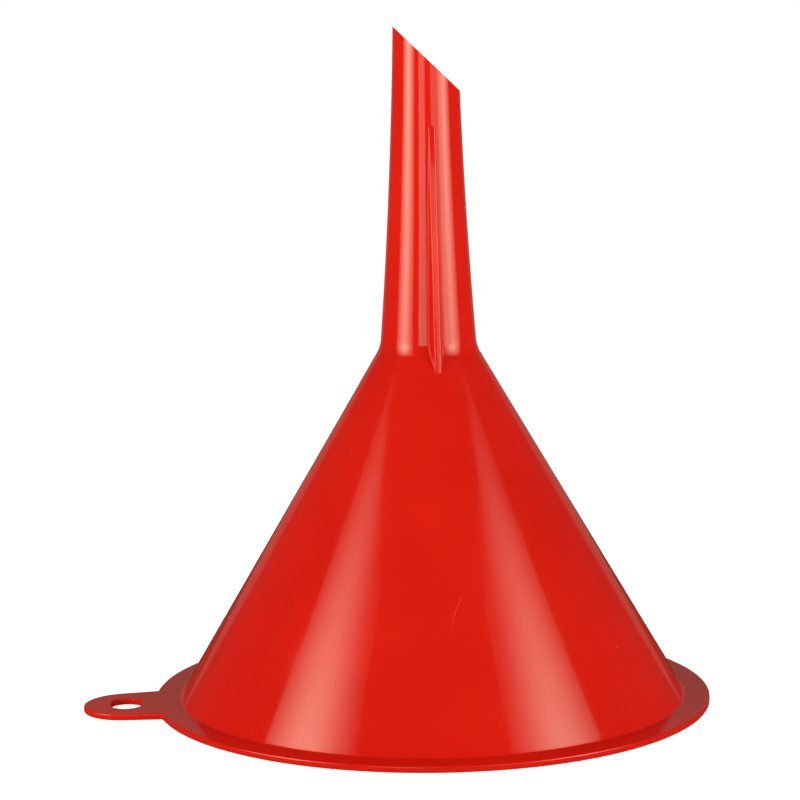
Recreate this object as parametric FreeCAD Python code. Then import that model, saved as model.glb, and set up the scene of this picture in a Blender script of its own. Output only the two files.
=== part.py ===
"""A plastic filling funnel, moulded in one shot and standing mouth down on its rim.

The moulding is divided into named regions that meet face to face: bowl, neck, spout,
rim_flange, hang_tab, vent_rib_front and vent_rib_back.
Frame: origin on the axis in the plane that the rim stands on, +Z up along the spout,
the hanging tab towards -X and the two vent ribs towards -Y and +Y. Millimetres.
"""

import FreeCAD, Part
import math
import os

Vec = FreeCAD.Vector
UP = Vec(0, 0, 1)

# Rim: a flat ring round the mouth
rim_diameter = 120.8
rim_thickness = 1.4
rim_width = 5.35            # ring left outside the bowl, measured on the ring's top face
rim_root_fillet = 0.4       # inside corner between the ring and the bowl
rim_edge_round = 0.35       # outer edge, top and bottom, along the rim and the tab

# Bowl: a straight cone from the ring's top face to the corner with the spout
bowl_height = 75.6
bowl_wall = 1.4

# Neck: the rounded corner between bowl and spout
neck_diameter = 20.8        # sharp corner diameter, outside
neck_fillet = 6.5

# Spout: slightly flared tube with a slanted end, high on the tab's side
spout_length = 68.2         # corner to the highest point of the tip
tip_diameter = 13.8         # outside, at the highest point of the tip
spout_flare = 0.48          # how far the outline bows in from a straight taper
spout_wall = 1.1
tip_cut_angle = 44.0        # degrees from level
tip_cut_turn = 11.0         # degrees that its low side is turned from +X towards the front rib

# Vent ribs: they keep the spout off a bottle's neck so that air can get out
rib_depth = 2.2             # how far the crest stands out at the corner
rib_length = 48.0           # corner to the rib's top end
rib_end_depth = 0.15        # how far the crest still stands out at its top end
rib_crest_width = 1.3
rib_flank_angle = 25.0      # degrees that each flank leans outwards from the rib's middle
rib_crest_round = 0.35

# Hanging tab with its slot, flush with the ring
tab_root_width = 19.5
tab_end_radius = 9.1
tab_slot_from_rim = 6.4     # slot centre outside the rim's edge
tab_slot_width = 6.5        # along the tab
tab_slot_length = 8.5       # across the tab
tab_corner_fillet = 0.6     # inside corners between tab and rim
tab_seam_inset = 1.5        # the tab's region starts this far inside the rim's edge

past = 5.0                  # how far cutting shapes run past what they cut

rim_radius = rim_diameter / 2
mouth_radius = rim_radius - rim_width
neck_radius = neck_diameter / 2
tip_radius = tip_diameter / 2
neck_z = rim_thickness + bowl_height
tip_z = neck_z + spout_length
cone_slope = (mouth_radius - neck_radius) / bowl_height
slot_x = -(rim_radius + tab_slot_from_rim)
seam_x = -(rim_radius - tab_seam_inset)


def spout_radius(z):
    """Outside radius of the spout at height z, on the same shallow curve as its outline."""
    share = (z - neck_z) / spout_length
    straight = neck_radius + share * (tip_radius - neck_radius)
    return straight - 4 * spout_flare * share * (1 - share)


def revolved(edges):
    """Solid of revolution about Z from closed outline edges in the XZ plane."""
    return Part.Face(Part.Wire(edges)).revolve(Vec(0, 0, 0), UP, 360)


def circle_edges_at(shape, radius, z):
    """Edges of shape that lie on the circle of this radius and height about Z."""
    found = []
    for edge in shape.Edges:
        ends = [v.Point for v in edge.Vertexes]
        on_circle = [abs(math.hypot(p.x, p.y) - radius) + abs(p.z - z) < 1e-4 for p in ends]
        box = edge.BoundBox
        if all(on_circle) and box.ZLength < 1e-4:
            found.append(edge)
    return found


def cone_and_spout(cone_inset, tube_inset, fillet, low_z, high_z):
    """Filled cone and spout, drawn in from the outside surface by the two insets."""
    half_angle = math.atan(cone_slope)
    cone_drop = cone_inset / math.cos(half_angle)
    corner_z = neck_z - (cone_drop - tube_inset) / cone_slope
    low_radius = mouth_radius + cone_slope * (rim_thickness - low_z) - cone_drop
    corner = Vec(neck_radius - tube_inset, 0, corner_z)
    tip = Vec(spout_radius(high_z) - tube_inset, 0, high_z)
    middle_z = (corner_z + high_z) / 2
    middle = Vec(spout_radius(middle_z) - tube_inset, 0, middle_z)
    outline = [
        Part.makeLine(Vec(0, 0, low_z), Vec(low_radius, 0, low_z)),
        Part.makeLine(Vec(low_radius, 0, low_z), corner),
        Part.Arc(corner, middle, tip).toShape(),
        Part.makeLine(tip, Vec(0, 0, high_z)),
        Part.makeLine(Vec(0, 0, high_z), Vec(0, 0, low_z)),
    ]
    solid = revolved(outline)
    return solid.makeFillet(fillet, circle_edges_at(solid, corner.x, corner.z))


def tip_waste():
    """Everything above the slanted end of the spout, highest on the tab's side."""
    reach = rim_diameter
    block = Part.makeBox(reach, reach, reach, Vec(0, -reach / 2, 0))
    block.translate(Vec(-reach / 2, 0, 0))
    block.rotate(Vec(0, 0, 0), Vec(0, 1, 0), tip_cut_angle)
    block.translate(Vec(-tip_radius, 0, tip_z))
    block.rotate(Vec(0, 0, 0), UP, -tip_cut_turn)
    return block


def level_slab(low_z, high_z):
    """A wide slab between two heights, for taking one region out of the wall."""
    side = 2 * rim_diameter
    return Part.makeBox(side, side, high_z - low_z, Vec(-side / 2, -side / 2, low_z))


outside = cone_and_spout(0, 0, neck_fillet, 0, tip_z)
inside = cone_and_spout(bowl_wall, spout_wall, neck_fillet + bowl_wall, -past, tip_z + past)
wall = outside.cut(inside).cut(tip_waste())
rim_top_z = rim_thickness + 2 * rim_root_fillet
neck_low_z = neck_z - neck_fillet
neck_high_z = neck_z + neck_fillet


def bowl():
    return wall.common(level_slab(rim_top_z, neck_low_z))


def neck():
    return wall.common(level_slab(neck_low_z, neck_high_z))


def spout():
    return wall.common(level_slab(neck_high_z, tip_z + past))


def tab_outline():
    """Outline of the tab: sides that close in a little and run tangent into a round end."""
    centre = Vec(slot_x, 0, 0)
    root = Vec(-rim_radius, tab_root_width / 2, 0)
    to_root = root - centre
    bearing = math.atan2(to_root.y, to_root.x)
    turn = math.acos(tab_end_radius / to_root.Length)
    angle = bearing + turn
    tangent = centre + Vec(math.cos(angle), math.sin(angle), 0) * tab_end_radius
    along = (root - tangent).normalize()
    inner = root + along * rim_width
    far_side = [Vec(p.x, -p.y, 0) for p in (tangent, inner)]
    end_point = centre - Vec(tab_end_radius, 0, 0)
    return Part.Wire([
        Part.makeLine(inner, tangent),
        Part.Arc(tangent, end_point, far_side[0]).toShape(),
        Part.makeLine(far_side[0], far_side[1]),
        Part.makeLine(far_side[1], inner),
    ])


def slot():
    """The hanging slot: straight across the tab with round ends."""
    end_radius = tab_slot_width / 2
    half_run = tab_slot_length / 2 - end_radius
    height = rim_thickness + 2 * past
    shape = Part.makeBox(tab_slot_width, 2 * half_run, height, Vec(slot_x - end_radius, -half_run, -past))
    for side in (-1, 1):
        shape = shape.fuse(Part.makeCylinder(end_radius, height, Vec(slot_x, side * half_run, -past)))
    return shape


def rim_plate():
    """Ring and tab as one flat plate with rounded edges, and the foot of the bowl's wall."""
    disc = Part.makeCylinder(rim_radius, rim_thickness)
    tab = Part.Face(tab_outline()).extrude(UP * rim_thickness)
    plate = disc.fuse(tab).removeSplitter()
    corners = []
    for edge in plate.Edges:
        ends = [v.Point for v in edge.Vertexes]
        upright = edge.BoundBox.ZLength > rim_thickness / 2 and len(ends) == 2
        if upright and abs(math.hypot(ends[0].x, ends[0].y) - rim_radius) < 1e-3 and ends[0].x < 0:
            if abs(ends[0].y) > tab_end_radius / 2:
                corners.append(edge)
    plate = plate.makeFillet(tab_corner_fillet, corners)
    plate = plate.makeFillet(rim_edge_round, [e for e in plate.Edges if e.BoundBox.ZLength < 1e-4])
    plate = plate.fuse(outside.common(level_slab(0, neck_low_z)))
    plate = plate.makeFillet(rim_root_fillet, circle_edges_at(plate, mouth_radius, rim_thickness))
    return plate.common(level_slab(-past, rim_top_z)).cut(inside).cut(slot())


plate = rim_plate()


def seam_block(tab_side):
    """The half of the space on one side of the seam between ring and tab."""
    side = 2 * rim_diameter
    start = seam_x - side if tab_side else seam_x
    return Part.makeBox(side, side, side, Vec(start, -side / 2, -side / 2))


def rim_flange():
    return plate.common(seam_block(False))


def hang_tab():
    return plate.common(seam_block(True))


def rib_section(z, crest):
    """Level cross-section of the rib at height z, from inside the wall out to its crest."""
    root = tip_radius / 2
    half_crest = rib_crest_width / 2
    half_root = half_crest + (crest - root) * math.tan(math.radians(rib_flank_angle))
    corners = [
        Vec(-half_root, -root, z),
        Vec(-half_crest, -crest, z),
        Vec(half_crest, -crest, z),
        Vec(half_root, -root, z),
    ]
    return Part.makePolygon(corners + corners[:1])


def vent_rib():
    """The rib towards -Y, cut back to the outside of spout, neck and bowl."""
    end_z = neck_z + rib_length
    crest_at_neck = neck_radius + rib_depth
    crest_at_end = spout_radius(end_z) + rib_end_depth
    crest_slope = (crest_at_neck - crest_at_end) / rib_length
    low_z = neck_z - 2 * rib_depth / (cone_slope - crest_slope)
    low = rib_section(low_z, crest_at_neck + crest_slope * (neck_z - low_z))
    high = rib_section(end_z, crest_at_end)
    rib = Part.makeLoft([low, high], True, True)
    crest_edges = []
    for edge in rib.Edges:
        ends = [v.Point for v in edge.Vertexes]
        long_way = abs(ends[0].z - ends[1].z) > rib_length
        if long_way and all(abs(p.x) < rib_crest_width for p in ends):
            crest_edges.append(edge)
    rib = rib.makeFillet(rib_crest_round, crest_edges)
    return rib.cut(outside)


front_rib = vent_rib()
back_rib = front_rib.mirror(Vec(0, 0, 0), Vec(0, 1, 0))

nodes = {
    "bowl": bowl(),
    "neck": neck(),
    "spout": spout(),
    "rim_flange": rim_flange(),
    "hang_tab": hang_tab(),
    "vent_rib_front": front_rib,
    "vent_rib_back": back_rib,
}

os.makedirs("parts", exist_ok=True)
for name, shape in nodes.items():
    solids = shape.Solids
    print(name, "solids", len(solids), "valid", shape.isValid(), "volume", round(shape.Volume, 2))
    solids[0].exportStep("parts/" + name + ".step")
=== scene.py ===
import math
import bmesh
import bpy
from mathutils import Matrix, Vector


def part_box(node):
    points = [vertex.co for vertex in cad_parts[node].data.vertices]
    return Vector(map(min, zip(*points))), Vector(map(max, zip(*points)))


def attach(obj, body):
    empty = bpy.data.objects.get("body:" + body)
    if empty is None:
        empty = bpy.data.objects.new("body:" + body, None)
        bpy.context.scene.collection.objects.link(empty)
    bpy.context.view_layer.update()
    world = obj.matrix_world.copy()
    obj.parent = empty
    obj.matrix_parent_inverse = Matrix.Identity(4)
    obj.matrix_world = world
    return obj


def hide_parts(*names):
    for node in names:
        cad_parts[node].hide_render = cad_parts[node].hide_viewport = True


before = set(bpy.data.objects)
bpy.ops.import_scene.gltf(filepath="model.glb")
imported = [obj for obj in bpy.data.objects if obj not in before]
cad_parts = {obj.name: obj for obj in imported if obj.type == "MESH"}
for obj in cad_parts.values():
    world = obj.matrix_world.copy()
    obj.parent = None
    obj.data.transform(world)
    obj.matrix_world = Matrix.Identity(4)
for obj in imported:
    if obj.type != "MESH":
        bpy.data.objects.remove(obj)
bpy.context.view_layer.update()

# ---------------------------------------------------------------- Bowl
# The straight cone that catches the liquid. The whole funnel is one shot of glossy red
# polypropylene; this is the widest part of that moulding, with the same wall all the way up.

MM = 0.001
steps_around = 512
bowl_wall = 1.4 * MM
bowl_rows = 14
merge_gap = 0.001 * MM
crisp_corner = math.radians(35)

deep_red = (0.745, 0.0110, 0.0048)
bright_red = (0.795, 0.0135, 0.0062)
dust_colour = (0.86, 0.30, 0.22)
hairline_colour = (0.80, 0.07, 0.045)
plastic_ior = 1.5
clean_roughness = 0.07
hazy_roughness = 0.13
mark_roughness = 0.35

# How many of each mark there are in a metre, and the band of its noise that shows.
drift_per_metre, drift_band = 35, (0.35, 0.65)
haze_per_metre, haze_band = 90, (0.4, 0.7)
hairlines_per_metre, hairline_level, hairline_spread = 45, 0.501, 0.002
hairline_drawn_out = (1, 1, 0.25)
scuffed_per_metre, scuffed_band = 55, (0.68, 0.76)
specks_per_metre, speck_edge, specks_kept = 260, (0.05, 0.09), (0.86, 0.88)
dusty_per_metre, dusty_band = 22, (0.50, 0.60)
peel_per_metre, peel_height = 700, 0.0012 * MM
waves_per_metre, wave_height = 45, 0.03 * MM

bowl_low, bowl_high = [corner.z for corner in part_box("bowl")]
bowl_low_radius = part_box("bowl")[1].x
bowl_high_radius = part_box("neck")[1].x
cone_slope = (bowl_low_radius - bowl_high_radius) / (bowl_high - bowl_low)
cone_half_angle = math.atan(cone_slope)
level_bowl_wall = bowl_wall / math.cos(cone_half_angle)


def cone_radius(height):
    """Outside radius of the cone at a height."""
    return bowl_low_radius - cone_slope * (height - bowl_low)


def turned(outline):
    """The closed outline, given as (radius, height) corners, spun once round the funnel's axis."""
    mesh = bmesh.new()
    corners = [mesh.verts.new((radius, 0, height)) for radius, height in outline]
    for start, end in zip(corners, corners[1:] + corners[:1]):
        mesh.edges.new((start, end))
    bmesh.ops.spin(mesh, geom=mesh.verts[:] + mesh.edges[:], cent=(0, 0, 0), axis=(0, 0, 1),
                   dvec=(0, 0, 0), angle=math.tau, steps=steps_around, use_merge=True)
    bmesh.ops.remove_doubles(mesh, verts=mesh.verts[:], dist=merge_gap)
    bmesh.ops.recalc_face_normals(mesh, faces=mesh.faces[:])
    return mesh


def line_rows(start, end, rows):
    """Evenly spaced outline corners from start up to, but not including, end."""
    start, end = Vector(start), Vector(end)
    return [tuple(start.lerp(end, row / rows)) for row in range(rows)]


def moulded(mesh, name):
    """The finished piece: smooth faces, crisp corners, flat parts kept flat, in red plastic."""
    for face in mesh.faces:
        face.smooth = True
    data = bpy.data.meshes.new(name)
    mesh.to_mesh(data)
    mesh.free()
    data.set_sharp_from_angle(angle=crisp_corner)
    data.materials.append(red_plastic)
    piece = bpy.data.objects.new(name, data)
    bpy.context.scene.collection.objects.link(piece)
    shading = piece.modifiers.new("even_shading", "WEIGHTED_NORMAL")
    shading.keep_sharp = True
    return piece


def plastic():
    """Glossy red polypropylene: faint colour drift, haze, orange peel, specks of dust and hairlines."""
    material = bpy.data.materials.new("red_plastic")
    material.use_nodes = True
    nodes = material.node_tree.nodes
    join = material.node_tree.links.new
    shader = nodes["Principled BSDF"]
    shader.inputs["IOR"].default_value = plastic_ior
    place = nodes.new("ShaderNodeTexCoord").outputs["Object"]

    def noise(per_metre, detail, stretch=(1, 1, 1)):
        """A noise pattern on the piece, with about this many bumps in a metre."""
        mapping = nodes.new("ShaderNodeMapping")
        mapping.inputs["Scale"].default_value = stretch
        texture = nodes.new("ShaderNodeTexNoise")
        texture.inputs["Scale"].default_value = per_metre
        texture.inputs["Detail"].default_value = detail
        join(place, mapping.inputs["Vector"])
        join(mapping.outputs["Vector"], texture.inputs["Vector"])
        return texture.outputs["Fac"]

    def ranged(value, low, high, to_low, to_high):
        """The value stretched from low..high to to_low..to_high, with soft ends."""
        node = nodes.new("ShaderNodeMapRange")
        node.interpolation_type = "SMOOTHSTEP"
        node.inputs["From Min"].default_value = low
        node.inputs["From Max"].default_value = high
        node.inputs["To Min"].default_value = to_low
        node.inputs["To Max"].default_value = to_high
        join(value, node.inputs["Value"])
        return node.outputs["Result"]

    def product(*values):
        """All the values multiplied together."""
        total = values[0]
        for value in values[1:]:
            node = nodes.new("ShaderNodeMath")
            node.operation = "MULTIPLY"
            join(total, node.inputs[0])
            join(value, node.inputs[1])
            total = node.outputs["Value"]
        return total

    def blended(share, low, high):
        """A colour between low and high; either may be another colour's output."""
        node = nodes.new("ShaderNodeMix")
        node.data_type = "RGBA"
        join(share, node.inputs["Factor"])
        for socket, colour in (("A", low), ("B", high)):
            target = [s for s in node.inputs if s.name == socket and s.type == "RGBA"][0]
            if isinstance(colour, tuple):
                target.default_value = (*colour, 1)
            else:
                join(colour, target)
        return [s for s in node.outputs if s.type == "RGBA"][0]

    drift = ranged(noise(drift_per_metre, 3), *drift_band, 0, 1)
    colour = blended(drift, deep_red, bright_red)
    haze = noise(haze_per_metre, 4)

    hairline_run = noise(hairlines_per_metre, 0, hairline_drawn_out)
    near_side = ranged(hairline_run, hairline_level - hairline_spread, hairline_level, 0, 1)
    far_side = ranged(hairline_run, hairline_level, hairline_level + hairline_spread, 1, 0)
    scuffed = ranged(noise(scuffed_per_metre, 0), *scuffed_band, 0, 1)
    hairline = product(near_side, far_side, scuffed)

    grime = nodes.new("ShaderNodeTexVoronoi")
    grime.inputs["Scale"].default_value = specks_per_metre
    join(place, grime.inputs["Vector"])
    speck_draw = nodes.new("ShaderNodeSeparateColor")
    join(grime.outputs["Color"], speck_draw.inputs["Color"])
    speck = product(ranged(grime.outputs["Distance"], *speck_edge, 1, 0),
                    ranged(speck_draw.outputs["Red"], *specks_kept, 0, 1),
                    ranged(noise(dusty_per_metre, 2), *dusty_band, 0, 1))
    dusty = blended(speck, colour, dust_colour)
    join(blended(hairline, dusty, hairline_colour), shader.inputs["Base Color"])

    marks = nodes.new("ShaderNodeMath")
    marks.operation = "MAXIMUM"
    join(speck, marks.inputs[0])
    join(hairline, marks.inputs[1])
    worn = nodes.new("ShaderNodeMath")
    worn.operation = "MULTIPLY_ADD"
    worn.inputs[1].default_value = mark_roughness
    join(marks.outputs["Value"], worn.inputs[0])
    join(ranged(haze, *haze_band, clean_roughness, hazy_roughness), worn.inputs[2])
    join(worn.outputs["Value"], shader.inputs["Roughness"])

    peel = nodes.new("ShaderNodeBump")
    peel.inputs["Distance"].default_value = peel_height
    join(noise(peel_per_metre, 2), peel.inputs["Height"])
    waves = nodes.new("ShaderNodeBump")
    waves.inputs["Distance"].default_value = wave_height
    join(noise(waves_per_metre, 1), waves.inputs["Height"])
    join(peel.outputs["Normal"], waves.inputs["Normal"])
    join(waves.outputs["Normal"], shader.inputs["Normal"])
    return material


red_plastic = plastic()

bowl_outside = ((bowl_low_radius, bowl_low), (bowl_high_radius, bowl_high))
bowl_inside = tuple((radius - level_bowl_wall, height) for radius, height in reversed(bowl_outside))
bowl_outline = line_rows(*bowl_outside, bowl_rows) + line_rows(bowl_outside[1], bowl_inside[0], 1)
bowl_outline += line_rows(*bowl_inside, bowl_rows) + [bowl_inside[1]]
bowl = moulded(turned(bowl_outline), "bowl")
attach(bowl, "root")
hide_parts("bowl")

# ---------------------------------------------------------------- Neck
# The rounded corner between bowl and spout, moulded in one with both. The bowl's thicker wall
# thins into the spout's through it.

neck_diameter = 20.8 * MM
neck_fillet = 6.5 * MM
fillet_steps = 16
near_enough = 0.01 * MM
flare_shares = (0, 0.25, 0.5)
spout_wall = 1.1 * MM
spout_flare = 0.48 * MM
tip_diameter = 13.8 * MM

neck_low, neck_high = [corner.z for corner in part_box("neck")]
tip_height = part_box("spout")[1].z
neck_radius = neck_diameter / 2
tip_radius = tip_diameter / 2
corner_height = bowl_low + (bowl_low_radius - neck_radius) / cone_slope
spout_length = tip_height - corner_height


def spout_radius(height):
    """Outside radius of the spout: a straight taper that bows in a little."""
    share = (height - corner_height) / spout_length
    return neck_radius + share * (tip_radius - neck_radius) - 4 * spout_flare * share * (1 - share)


def round_ring(mesh, radius, height, length, segments):
    """Rounds the mesh's circular edge at this radius and height, starting length from the edge."""
    ring = []
    for edge in mesh.edges:
        on_ring = [abs(v.co.xy.length - radius) + abs(v.co.z - height) < near_enough for v in edge.verts]
        if all(on_ring):
            ring.append(edge)
    bmesh.ops.bevel(mesh, geom=ring, offset=length, offset_type="OFFSET", segments=segments,
                    profile=0.5, affect="EDGES", material=-1, clamp_overlap=False)


start_lean = math.atan((neck_radius - spout_radius(neck_high)) / (neck_high - corner_height))
half_turn = (cone_half_angle - start_lean) / 2
inner_drop = (level_bowl_wall - spout_wall) / cone_slope
inner_corner = (neck_radius - spout_wall, corner_height - inner_drop)
upper_heights = [neck_high + (corner_height - neck_high) * share for share in flare_shares]
neck_outline = [(cone_radius(neck_low), neck_low), (neck_radius, corner_height)]
neck_outline += [(spout_radius(height), height) for height in reversed(upper_heights)]
neck_outline += [(spout_radius(height) - spout_wall, height) for height in upper_heights]
neck_outline += [inner_corner, (cone_radius(neck_low) - level_bowl_wall, neck_low)]
neck_mesh = turned(neck_outline)
round_ring(neck_mesh, neck_radius, corner_height, neck_fillet * math.tan(half_turn), fillet_steps)
round_ring(neck_mesh, *inner_corner, (neck_fillet + bowl_wall) * math.tan(half_turn), fillet_steps)
neck = moulded(neck_mesh, "neck")
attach(neck, "root")
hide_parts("neck")

# ---------------------------------------------------------------- Spout
# A slightly flared tube, moulded round a long core pin. Its end is slanted so that liquid
# leaves it in a thin stream, and is highest near the hanging tab's side.

tip_cut_angle = math.radians(44)
tip_cut_turn = math.radians(11)
spout_rows = 26
past_tip = 1 * MM

spout_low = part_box("spout")[0].z
spout_top = tip_height + past_tip
spout_heights = [spout_low + (spout_top - spout_low) * row / spout_rows for row in range(spout_rows + 1)]
spout_outline = [(spout_radius(height), height) for height in spout_heights]
spout_outline += [(radius - spout_wall, height) for radius, height in reversed(spout_outline)]
spout_mesh = turned(spout_outline)
cut_turn = Matrix.Rotation(-tip_cut_turn, 3, "Z")
cut_high_side = cut_turn @ Vector((-tip_radius, 0, tip_height))
cut_facing = cut_turn @ Vector((math.sin(tip_cut_angle), 0, math.cos(tip_cut_angle)))
bmesh.ops.bisect_plane(spout_mesh, geom=spout_mesh.verts[:] + spout_mesh.edges[:] + spout_mesh.faces[:],
                       plane_co=cut_high_side, plane_no=cut_facing, clear_outer=True)
cut_edges = [edge for edge in spout_mesh.edges if edge.is_boundary]
bmesh.ops.bridge_loops(spout_mesh, edges=cut_edges)
bmesh.ops.recalc_face_normals(spout_mesh, faces=spout_mesh.faces[:])
spout = moulded(spout_mesh, "spout")
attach(spout, "root")
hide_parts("spout")

# ---------------------------------------------------------------- Rim
# The flat ring round the mouth, moulded in one with the bowl, with a small fillet up to it
# and rounded edges. It stiffens the mouth, and the funnel stands on it.

rim_thickness = 1.4 * MM
rim_root_fillet = 0.4 * MM
rim_edge_round = 0.35 * MM
edge_steps = 6

rim_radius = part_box("rim_flange")[1].x
rim_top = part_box("rim_flange")[1].z
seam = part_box("rim_flange")[0].x
root_radius = cone_radius(rim_thickness)
root_half_turn = (math.pi / 2 - cone_half_angle) / 2
rim_outline = [
    (cone_radius(0) - level_bowl_wall, 0),
    (rim_radius, 0),
    (rim_radius, rim_thickness),
    (root_radius, rim_thickness),
    (cone_radius(rim_top), rim_top),
    (cone_radius(rim_top) - level_bowl_wall, rim_top),
]
rim_mesh = turned(rim_outline)
round_ring(rim_mesh, root_radius, rim_thickness, rim_root_fillet * math.tan(root_half_turn), edge_steps)
round_ring(rim_mesh, rim_radius, rim_thickness, rim_edge_round, edge_steps)
round_ring(rim_mesh, rim_radius, 0, rim_edge_round, edge_steps)
bmesh.ops.bisect_plane(rim_mesh, geom=rim_mesh.verts[:] + rim_mesh.edges[:] + rim_mesh.faces[:],
                       plane_co=(seam, 0, 0), plane_no=(1, 0, 0), clear_inner=True)
bmesh.ops.holes_fill(rim_mesh, edges=[edge for edge in rim_mesh.edges if edge.is_boundary])
bmesh.ops.recalc_face_normals(rim_mesh, faces=rim_mesh.faces[:])
rim_flange = moulded(rim_mesh, "rim_flange")
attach(rim_flange, "root")
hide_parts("rim_flange")

# ---------------------------------------------------------------- Hanging tab
# A flat ear level with the ring and moulded in one with it, for hanging the funnel on a hook.
# One half is outlined and raised to the ring's thickness, and the other half mirrors it.

tab_root_width = 19.5 * MM
tab_end_radius = 9.1 * MM
tab_slot_from_rim = 6.4 * MM
tab_slot_width = 6.5 * MM
tab_slot_length = 8.5 * MM
tab_corner_fillet = 0.6 * MM
slot_edge_round = 0.3 * MM
past_seam = 1.0 * MM
slot_reach = 0.9 * tab_slot_width
mirror_gap = 0.005 * MM
tab_arc_steps = 32
slot_arc_steps = 20
rim_arc_steps = 5

slot_centre = Vector((-(rim_radius + tab_slot_from_rim), 0))
slot_half_width = tab_slot_width / 2
slot_arc_centre = slot_centre + Vector((0, tab_slot_length / 2 - slot_half_width))


def arc(centre, radius, start, end, steps):
    """Points along an arc, with both ends, from one bearing to the other."""
    bearings = [start + (end - start) * step / steps for step in range(steps + 1)]
    return [centre + radius * Vector((math.cos(b), math.sin(b))) for b in bearings]


tab_root = Vector((-rim_radius, tab_root_width / 2))
to_root = tab_root - slot_centre
side_bearing = math.atan2(to_root.y, to_root.x) + math.acos(tab_end_radius / to_root.length)
side_start = slot_centre + tab_end_radius * Vector((math.cos(side_bearing), math.sin(side_bearing)))
side_way = (tab_root - side_start).normalized()
along = side_way.dot(-tab_root)
to_rim = along - math.sqrt(along ** 2 - tab_root.length_squared + rim_radius ** 2)
rim_corner = tab_root + side_way * to_rim
corner_bearing = math.atan2(rim_corner.y, rim_corner.x)
rim_way = Vector((-rim_corner.y, rim_corner.x))
half_corner_turn = rim_way.angle(-side_way) / 2
outline_start = seam + past_seam
start_bearing = math.acos(outline_start / rim_radius)

tab_outline = [Vector((outline_start, 0))]
tab_outline += arc(Vector((0, 0)), rim_radius, start_bearing, corner_bearing, rim_arc_steps)
tab_outline += arc(slot_centre, tab_end_radius, side_bearing, math.pi, tab_arc_steps)
tab_outline += [slot_centre - Vector((slot_half_width, 0))]
tab_outline += arc(slot_arc_centre, slot_half_width, math.pi, 0, slot_arc_steps)
tab_outline += [slot_centre + Vector((slot_half_width, 0))]

tab_mesh = bmesh.new()
tab_floor = tab_mesh.faces.new([tab_mesh.verts.new((point.x, point.y, 0)) for point in tab_outline])
raised = bmesh.ops.extrude_face_region(tab_mesh, geom=[tab_floor])["geom"]
raised_corners = [item for item in raised if isinstance(item, bmesh.types.BMVert)]
bmesh.ops.translate(tab_mesh, vec=(0, 0, rim_thickness), verts=raised_corners)
bmesh.ops.recalc_face_normals(tab_mesh, faces=tab_mesh.faces[:])


def level(edge):
    """Whether the edge runs level."""
    return abs(edge.verts[0].co.z - edge.verts[1].co.z) < near_enough


def inside_slot(edge):
    """Whether the edge is on the slot's outline."""
    return all((v.co.xy - slot_arc_centre).length < slot_reach for v in edge.verts)


def on_cut(edge):
    """Whether the edge lies past the seam or in the middle plane, where the tab goes on."""
    past = all(v.co.x > outline_start - near_enough for v in edge.verts)
    return past or all(v.co.y < near_enough for v in edge.verts)


upright = [edge for edge in tab_mesh.edges
           if not level(edge) and (edge.verts[0].co.xy - rim_corner).length < near_enough]
corner_offset = tab_corner_fillet * math.tan(half_corner_turn)
bmesh.ops.bevel(tab_mesh, geom=upright, offset=corner_offset, offset_type="OFFSET",
                segments=edge_steps, profile=0.5, affect="EDGES", material=-1)
outer_edges = [edge for edge in tab_mesh.edges
               if level(edge) and not inside_slot(edge) and not on_cut(edge)]
bmesh.ops.bevel(tab_mesh, geom=outer_edges, offset=rim_edge_round, offset_type="OFFSET",
                segments=edge_steps, profile=0.5, affect="EDGES", material=-1, loop_slide=True)
slot_edges = [edge for edge in tab_mesh.edges
              if level(edge) and inside_slot(edge) and not on_cut(edge)]
bmesh.ops.bevel(tab_mesh, geom=slot_edges, offset=slot_edge_round, offset_type="OFFSET",
                segments=edge_steps, profile=0.5, affect="EDGES", material=-1, loop_slide=True)
middle_faces = [face for face in tab_mesh.faces if all(v.co.y < merge_gap for v in face.verts)]
bmesh.ops.delete(tab_mesh, geom=middle_faces, context="FACES_ONLY")
bmesh.ops.mirror(tab_mesh, geom=tab_mesh.verts[:] + tab_mesh.edges[:] + tab_mesh.faces[:],
                 axis="Y", merge_dist=mirror_gap)
bmesh.ops.remove_doubles(tab_mesh, verts=tab_mesh.verts[:], dist=merge_gap)
bmesh.ops.bisect_plane(tab_mesh, geom=tab_mesh.verts[:] + tab_mesh.edges[:] + tab_mesh.faces[:],
                       plane_co=(seam, 0, 0), plane_no=(1, 0, 0), clear_outer=True)
bmesh.ops.holes_fill(tab_mesh, edges=[edge for edge in tab_mesh.edges if edge.is_boundary], sides=0)
bmesh.ops.recalc_face_normals(tab_mesh, faces=tab_mesh.faces[:])
hang_tab = moulded(tab_mesh, "hang_tab")
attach(hang_tab, "root")
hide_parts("hang_tab")

# ---------------------------------------------------------------- Vent ribs
# Two ribs down the outside of the spout, front and back, moulded in one with it. They keep it
# off a bottle's neck so that air can get out. Each runs into the bowl and dies away upwards.

rib_depth = 2.2 * MM
rib_length = 48.0 * MM
rib_end_depth = 0.15 * MM
rib_crest_width = 1.3 * MM
rib_flank_angle = math.radians(25)
rib_crest_round = 0.35 * MM
rib_sink = 0.5 * MM
rib_foot_run_in = 0.5 * MM
rib_fade_length = 10.0 * MM
rib_fade_drop = 0.25 * MM
rib_stations = 48
foot_crowding = 1.6
corner_steps = 6

rib_top = corner_height + rib_length
crest_at_corner = neck_radius + rib_depth
crest_slope = (crest_at_corner - spout_radius(rib_top) - rib_end_depth) / rib_length
fillet_start = corner_height - neck_fillet * math.tan(half_turn) * math.cos(cone_half_angle)
fillet_end = corner_height + neck_fillet * math.tan(half_turn) * math.cos(start_lean)
fillet_centre = (spout_radius(fillet_end) + neck_fillet * math.cos(start_lean),
                 fillet_end + neck_fillet * math.sin(start_lean))


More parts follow.
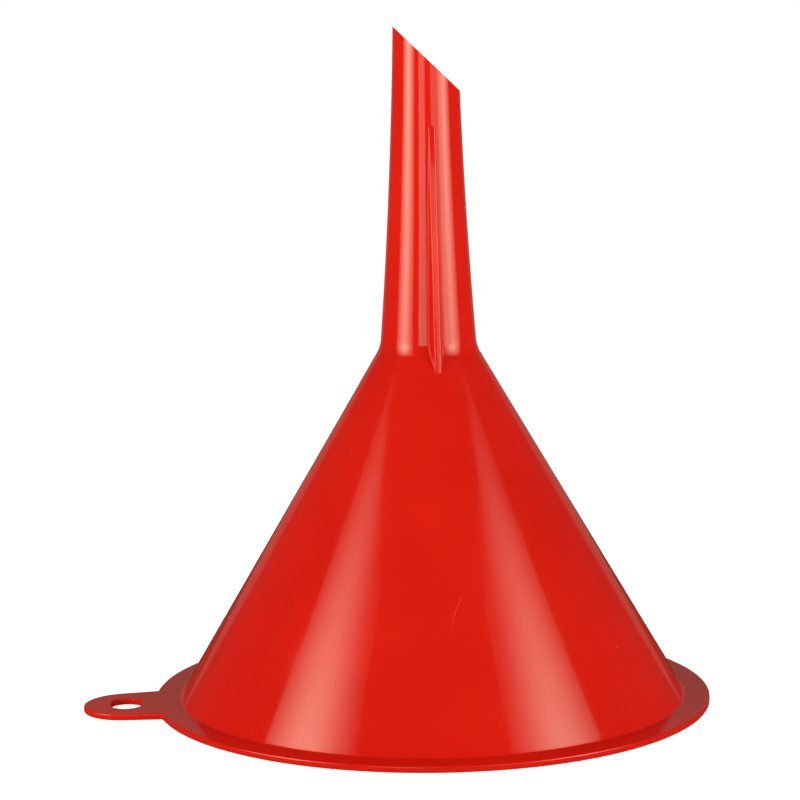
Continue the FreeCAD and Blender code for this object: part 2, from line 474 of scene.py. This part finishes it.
def outside_radius(height):
    """Outside radius of bowl, neck or spout at a height."""
    if height < fillet_start:
        return cone_radius(height)
    if height > fillet_end:
        return spout_radius(height)
    return fillet_centre[0] - math.sqrt(neck_fillet ** 2 - (height - fillet_centre[1]) ** 2)


def rib_section(height):
    """Half of the rib's level outline at a height: crest, rounded corner, and flank into the wall."""
    root = outside_radius(height) - rib_sink
    fading = max(0, 1 - (rib_top - height) / rib_fade_length)
    crest = crest_at_corner + crest_slope * (corner_height - height) - rib_fade_drop * fading ** 2
    half_crest = rib_crest_width / 2
    half_turn_in = (math.pi / 2 - rib_flank_angle) / 2
    corner_round = min(rib_crest_round, (crest - root) / 2)
    half_root = half_crest + (crest - root) * math.tan(rib_flank_angle)
    middle = Vector((half_crest - corner_round * math.tan(half_turn_in), crest - corner_round))
    points = [Vector((0, crest))]
    points += arc(middle, corner_round, math.pi / 2, rib_flank_angle, corner_steps)
    return points + [Vector((half_root, root))]


def rib_mesh(side):
    """The rib on one side, lofted through its outlines from foot to top and closed at both ends."""
    mesh = bmesh.new()
    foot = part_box("vent_rib_front")[0].z - rib_foot_run_in
    loops = []
    for station in range(rib_stations + 1):
        height = foot + (rib_top - foot) * (station / rib_stations) ** foot_crowding
        half = rib_section(height)
        outline = [Vector((-x, y)) for x, y in reversed(half[1:])] + half
        ring = [mesh.verts.new((x, side * y, height)) for x, y in outline]
        loops.append([mesh.edges.new(pair) for pair in zip(ring, ring[1:] + ring[:1])])
        if station in (0, rib_stations):
            mesh.faces.new(ring)
    for lower, upper in zip(loops, loops[1:]):
        bmesh.ops.bridge_loops(mesh, edges=lower + upper)
    bmesh.ops.recalc_face_normals(mesh, faces=mesh.faces[:])
    return mesh


for name, side in (("vent_rib_front", -1), ("vent_rib_back", 1)):
    vent_rib = moulded(rib_mesh(side), name)
    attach(vent_rib, "root")
    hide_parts(name)

# ---------------------------------------------------------------- Camera
# A long lens some way above the rim, slightly to the tab's side of the front rib. Its aim and
# roll are given across and up from the foot of the funnel's axis.

view_azimuth = math.radians(9.0)
view_distance = 0.47705
view_height = 0.12317
aim_side = -0.0063
aim_height = 0.06534
view_roll = math.radians(-0.731)
lens_length = 99.93
sensor_width = 36

towards = Vector((-math.sin(view_azimuth), -math.cos(view_azimuth), 0))
sideways = Vector((math.cos(view_azimuth), -math.sin(view_azimuth), 0))
viewpoint = towards * view_distance + Vector((0, 0, view_height))
aim = sideways * aim_side + Vector((0, 0, aim_height))
lens = bpy.data.cameras.new("camera")
lens.lens = lens_length
lens.sensor_width = sensor_width
camera = bpy.data.objects.new("camera", lens)
turn = (aim - viewpoint).to_track_quat("-Z", "Y").to_matrix().to_4x4()
camera.matrix_world = Matrix.Translation(viewpoint) @ turn @ Matrix.Rotation(view_roll, 4, "Z")
bpy.context.scene.collection.objects.link(camera)
bpy.context.scene.camera = camera
bpy.context.scene.view_settings.view_transform = "Standard"

# ---------------------------------------------------------------- Floor
# A plain white table top that the funnel stands on. The camera sees it lit up to plain
# white, and the plastic mirrors a dim version of it.

floor_radius = 0.62
floor_gap = 0.1 * MM
floor_sides = 96
table_white = 0.85
mirrored_grey = 0.12
table_glow = 0.98

floor_mesh = bmesh.new()
bmesh.ops.create_circle(floor_mesh, cap_ends=True, radius=floor_radius, segments=floor_sides)
bmesh.ops.translate(floor_mesh, vec=(0, 0, -floor_gap), verts=floor_mesh.verts[:])
floor_data = bpy.data.meshes.new("floor")
floor_mesh.to_mesh(floor_data)
floor_mesh.free()
floor = bpy.data.objects.new("floor", floor_data)
bpy.context.scene.collection.objects.link(floor)
white = bpy.data.materials.new("white_table")
white.use_nodes = True
nodes, join = white.node_tree.nodes, white.node_tree.links.new
nodes.remove(nodes["Principled BSDF"])
matt = nodes.new("ShaderNodeBsdfDiffuse")
matt.inputs["Color"].default_value = (table_white, table_white, table_white, 1)
dim = nodes.new("ShaderNodeBsdfDiffuse")
dim.inputs["Color"].default_value = (mirrored_grey, mirrored_grey, mirrored_grey, 1)
glow = nodes.new("ShaderNodeEmission")
glow.inputs["Strength"].default_value = table_glow
bright = nodes.new("ShaderNodeAddShader")
join(matt.outputs[0], bright.inputs[0])
join(glow.outputs[0], bright.inputs[1])
rays = nodes.new("ShaderNodeLightPath")
seen = nodes.new("ShaderNodeMixShader")
join(rays.outputs["Is Camera Ray"], seen.inputs["Fac"])
join(matt.outputs[0], seen.inputs[1])
join(bright.outputs[0], seen.inputs[2])
mirrored = nodes.new("ShaderNodeMixShader")
join(rays.outputs["Is Glossy Ray"], mirrored.inputs["Fac"])
join(seen.outputs[0], mirrored.inputs[1])
join(dim.outputs[0], mirrored.inputs[2])
join(mirrored.outputs[0], nodes["Material Output"].inputs["Surface"])
floor_data.materials.append(white)

# ---------------------------------------------------------------- Studio light
# A soft box stands on each side, a little in front of the funnel, each brightest in the middle
# of its cloth. Low white boards stand either side of the camera, a dim backdrop behind, and
# two weak boards light the far side.

warm_white = (1.0, 0.97, 0.73)
box_distance = 0.5
box_width = 0.40
box_top = 0.54
box_edge_share = 0.03
box_hot_height = 0.4
box_hot_reach = (0.28, 0.40)
board_distance = 0.6
front_board_top = 0.235
backdrop_top = 0.3
backdrop_width = 0.9
back_board_size = 0.4
back_board_radiance = 0.8
world_light = 0.05


def standing_light(name, bearing, distance, low, high, width, radiance):
    """An upright flat light facing the funnel; its bearing is to the camera's right."""
    light = bpy.data.lights.new(name, "AREA")
    light.shape = "RECTANGLE"
    light.size = width
    light.size_y = high - low
    light.color = warm_white
    light.energy = radiance * math.pi * width * (high - low)
    box = bpy.data.objects.new(name, light)
    bearing = math.radians(bearing)
    outwards = sideways * math.sin(bearing) + towards * math.cos(bearing)
    facing = (-outwards).to_track_quat("-Z", "Y").to_matrix().to_4x4()
    box.matrix_world = Matrix.Translation(outwards * distance + Vector((0, 0, (low + high) / 2))) @ facing
    bpy.context.scene.collection.objects.link(box)
    return box


def hot_middle(light, edge_share, height_share, reach):
    """Makes the light's cloth brightest at one spot, falling to a share of that at its edges."""
    light.use_nodes = True
    nodes, join = light.node_tree.nodes, light.node_tree.links.new
    place = nodes.new("ShaderNodeMapping")
    across, upwards = light.size / reach[0], light.size_y / reach[1]
    place.inputs["Location"].default_value = (-across / 2, -height_share * upwards, 0)
    place.inputs["Scale"].default_value = (across, upwards, 0)
    glow = nodes.new("ShaderNodeTexGradient")
    glow.gradient_type = "QUADRATIC_SPHERE"
    brightness = nodes.new("ShaderNodeMapRange")
    brightness.inputs["To Min"].default_value = edge_share
    join(nodes.new("ShaderNodeTexCoord").outputs["UV"], place.inputs["Vector"])
    join(place.outputs["Vector"], glow.inputs["Vector"])
    join(glow.outputs["Fac"], brightness.inputs["Value"])
    join(brightness.outputs["Result"], nodes["Emission"].inputs["Strength"])


for name, bearing, radiance in (("left_box", -60, 11.0), ("right_box", 60, 9.5)):
    box = standing_light(name, bearing, box_distance, 0.0, box_top, box_width, radiance)
    hot_middle(box.data, box_edge_share, box_hot_height, box_hot_reach)
standing_light("front_left_board", -13.5, board_distance, 0.0, front_board_top, 0.21, 2.2)
standing_light("front_right_board", 32, board_distance, 0.0, front_board_top, 0.34, 1.6)
standing_light("backdrop", 180, board_distance, 0.0, backdrop_top, backdrop_width, 0.12)
for name, bearing in (("back_left_board", -140), ("back_right_board", 140)):
    board = standing_light(name, bearing, board_distance, 0.0, back_board_size, back_board_size,
                           back_board_radiance)
    board.visible_glossy = False

world = bpy.data.worlds.new("studio")
world.use_nodes = True
nodes, join = world.node_tree.nodes, world.node_tree.links.new
plain = nodes["Background"]
plain.inputs["Color"].default_value = (1, 1, 1, 1)
rays = nodes.new("ShaderNodeLightPath")
brightness = nodes.new("ShaderNodeMapRange")
brightness.inputs["To Min"].default_value = world_light
brightness.inputs["To Max"].default_value = 1.0
join(rays.outputs["Is Camera Ray"], brightness.inputs["Value"])
join(brightness.outputs["Result"], plain.inputs["Strength"])
bpy.context.scene.world = world
